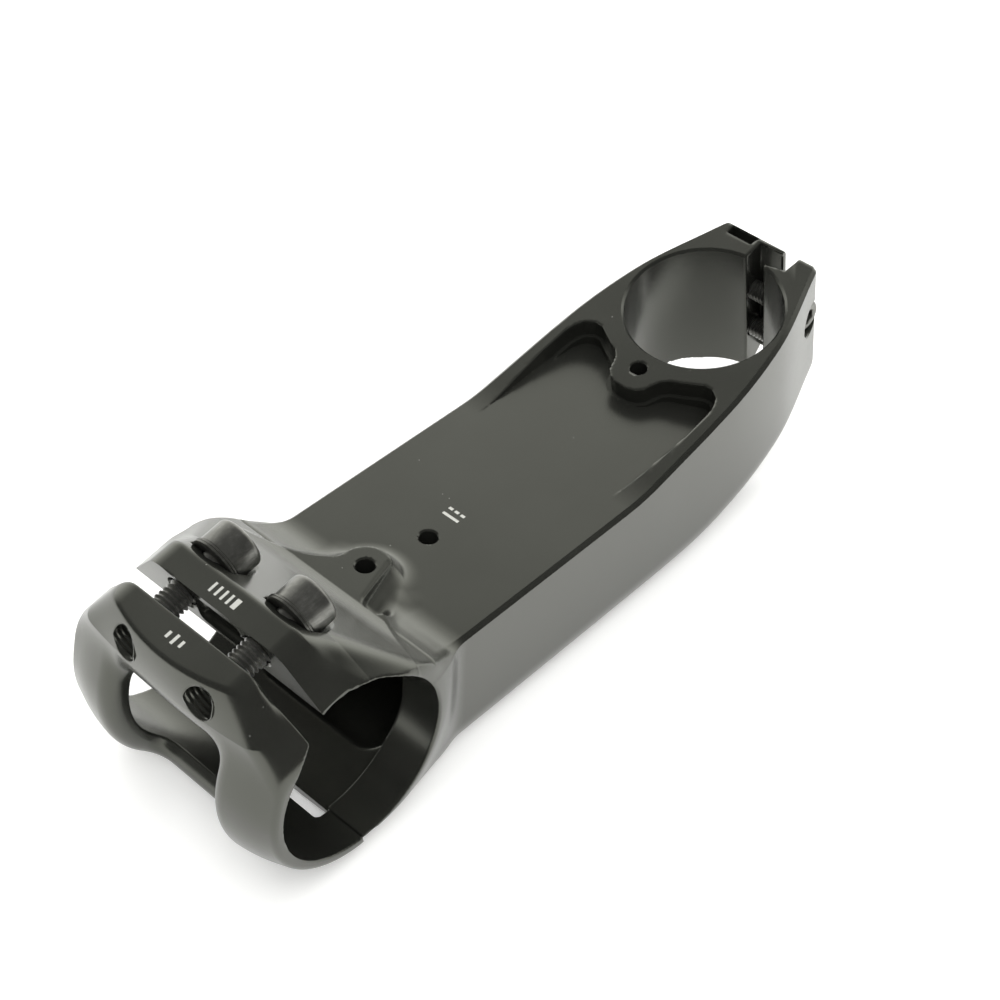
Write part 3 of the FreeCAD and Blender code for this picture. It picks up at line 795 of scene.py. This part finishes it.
# ------------------------------------------------------------------ pieces
body = polygonise(body_field, (-21.6, -24.0, -16.6), (114.0, 24.0, 49.0), 0.40, "stem_shell", 190000)
finish_field_piece(body, body_field)
give(body, mat_body)
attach(body, "stem")
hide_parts("stem_body")

cap = polygonise(cap_field, (BX + 1.2, -24.0, BZ - 21.6), (BX + 22.0, 24.0, BZ + 25.6), 0.30, "faceplate_shell", 150000)
finish_field_piece(cap, cap_field)
give(cap, mat_cap)
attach(cap, "faceplate")
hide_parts("faceplate")

for side, sign in (("left", 1), ("right", -1)):
    place = placer((BX - 5.0, 8.0 * sign, BZ + 20.6), (1, 0, 0), (0, 1, 0), (0, 0, 1))
    v, f = screw_mesh(4.25, 5.0, 2.42, 16.0, 4.0, 2.6, 0.8, 0.42)
    ob = smooth(new_piece("clamp_screw_" + side + "_detail", v, f, place), 40)
    give(ob, mat_screw)
    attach(ob, "clamp_screw_" + side)
    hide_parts("clamp_screw_" + side)
    # washer: a flat ring with a turned edge
    v, f = lathe([(0.0, 2.65), (0.0, 4.45), (0.06, 4.57), (0.16, 4.60), (0.34, 4.58), (0.40, 4.50), (0.46, 4.58), (0.66, 4.60),
                  (0.76, 4.56), (0.80, 4.45), (0.80, 2.65), (0.0, 2.65)])
    ob = new_piece("washer_" + side + "_detail", v, f, place)
    bm = bmesh.new()
    bm.from_mesh(ob.data)
    bmesh.ops.remove_doubles(bm, verts=bm.verts, dist=1e-7)
    bm.to_mesh(ob.data)
    bm.free()
    smooth(ob, 40)
    give(ob, mat_washer)
    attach(ob, "clamp_screw_" + side)
    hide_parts("washer_" + side)
    # tapped thread lining the faceplate's hole
    v, f = nut_thread(0.0, lambda a, b, y0=8.0 * sign: mouth_front(y0 + a, 20.6 + b) - 6.62, 2.60, 2.46, 2.75, 0.8)
    ob = smooth(new_piece("faceplate_thread_" + side, v, f, placer((BX + 6.5, 8.0 * sign, BZ + 20.6), (1, 0, 0), (0, 1, 0), (0, 0, 1))), 60)
    give(ob, mat_cap)
    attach(ob, "faceplate")

for side, sign, high in (("upper", 1, 4.5), ("lower", -1, -5.5)):
    place = placer((-16.7, sign * 6.62, high), (0, -sign, 0), (1, 0, 0), (0, 0, 1))
    v, f = screw_mesh(3.2, 4.0, 1.92, 12.0, 3.0, 2.0, 0.7, 0.34, 72)
    ob = smooth(new_piece("pinch_screw_" + side + "_detail", v, f, place), 40)
    give(ob, mat_screw)
    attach(ob, "pinch_screw_" + side)
    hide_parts("pinch_screw_" + side)

# ------------------------------------------------------------------ stage
bm = bmesh.new()
bmesh.ops.create_grid(bm, x_segments=1, y_segments=1, size=3.0)
floor_mesh = bpy.data.meshes.new("floor")
bm.to_mesh(floor_mesh)
bm.free()
floor = bpy.data.objects.new("floor", floor_mesh)
floor.location = (0, 0, -0.0201)
bpy.context.scene.collection.objects.link(floor)
mat, nt, bsdf = nodes_of("floor_white")
bsdf.inputs["Base Color"].default_value = (0.93, 0.93, 0.92, 1)
bsdf.inputs["Roughness"].default_value = 0.75
bsdf.inputs["Emission Color"].default_value = (1, 1, 0.99, 1)
bsdf.inputs["Emission Strength"].default_value = 0.30
floor.data.materials.append(mat)


def area(name, loc, aim, size, power, size_y=None):
    data = bpy.data.lights.new(name, "AREA")
    data.energy = power
    data.size = size
    if size_y:
        data.shape = "RECTANGLE"
        data.size_y = size_y
    ob = bpy.data.objects.new(name, data)
    ob.location = loc
    ob.rotation_euler = (Vector(aim) - Vector(loc)).to_track_quat("-Z", "Y").to_euler()
    bpy.context.scene.collection.objects.link(ob)
    return ob


for name, loc, size, power in (("overhead", (0.25, 0.10, 1.20), 1.6, 16.0), ("side", (0.55, 0.60, 0.80), 1.0, 4.5), ("back", (-0.60, -0.50, 0.90), 1.0, 3.5)):
    lamp = area(name, loc, (0.05, 0, 0), size, power)
    lamp.visible_glossy = False

# the room: dim all round, with a bright low wall behind the object as the camera sees it
world = bpy.data.worlds.new("studio")
bpy.context.scene.world = world
world.use_nodes = True
nt = world.node_tree
bg = nt.nodes["Background"]
way = nt.nodes.new("ShaderNodeTexCoord").outputs["Generated"]
split = nt.nodes.new("ShaderNodeSeparateXYZ")
nt.links.new(way, split.inputs[0])
flat = nt.nodes.new("ShaderNodeVectorMath")
flat.operation = "MULTIPLY"
flat.inputs[1].default_value = (1, 1, 0)
nt.links.new(way, flat.inputs[0])
unit = nt.nodes.new("ShaderNodeVectorMath")
unit.operation = "NORMALIZE"
nt.links.new(flat.outputs[0], unit.inputs[0])
facing = nt.nodes.new("ShaderNodeVectorMath")
facing.operation = "DOT_PRODUCT"
facing.inputs[1].default_value = (-0.783, -0.622, 0)
nt.links.new(unit.outputs[0], facing.inputs[0])
towards = ramp(nt, facing.outputs["Value"], [(0.15, 0.0), (0.70, 1.0)])
height = ramp(nt, split.outputs["Z"], [(0.0, 1.0), (0.30, 0.80), (0.69, 0.36), (0.88, 0.06), (1.0, 0.0)])
glow = mixf(nt, "MULTIPLY", mixf(nt, "MULTIPLY", towards, height), 2.1)
nt.links.new(mixf(nt, "ADD", glow, 0.09), bg.inputs["Strength"])
bg.inputs["Color"].default_value = (1, 1, 0.96, 1)
bpy.context.scene.view_settings.view_transform = "Standard"
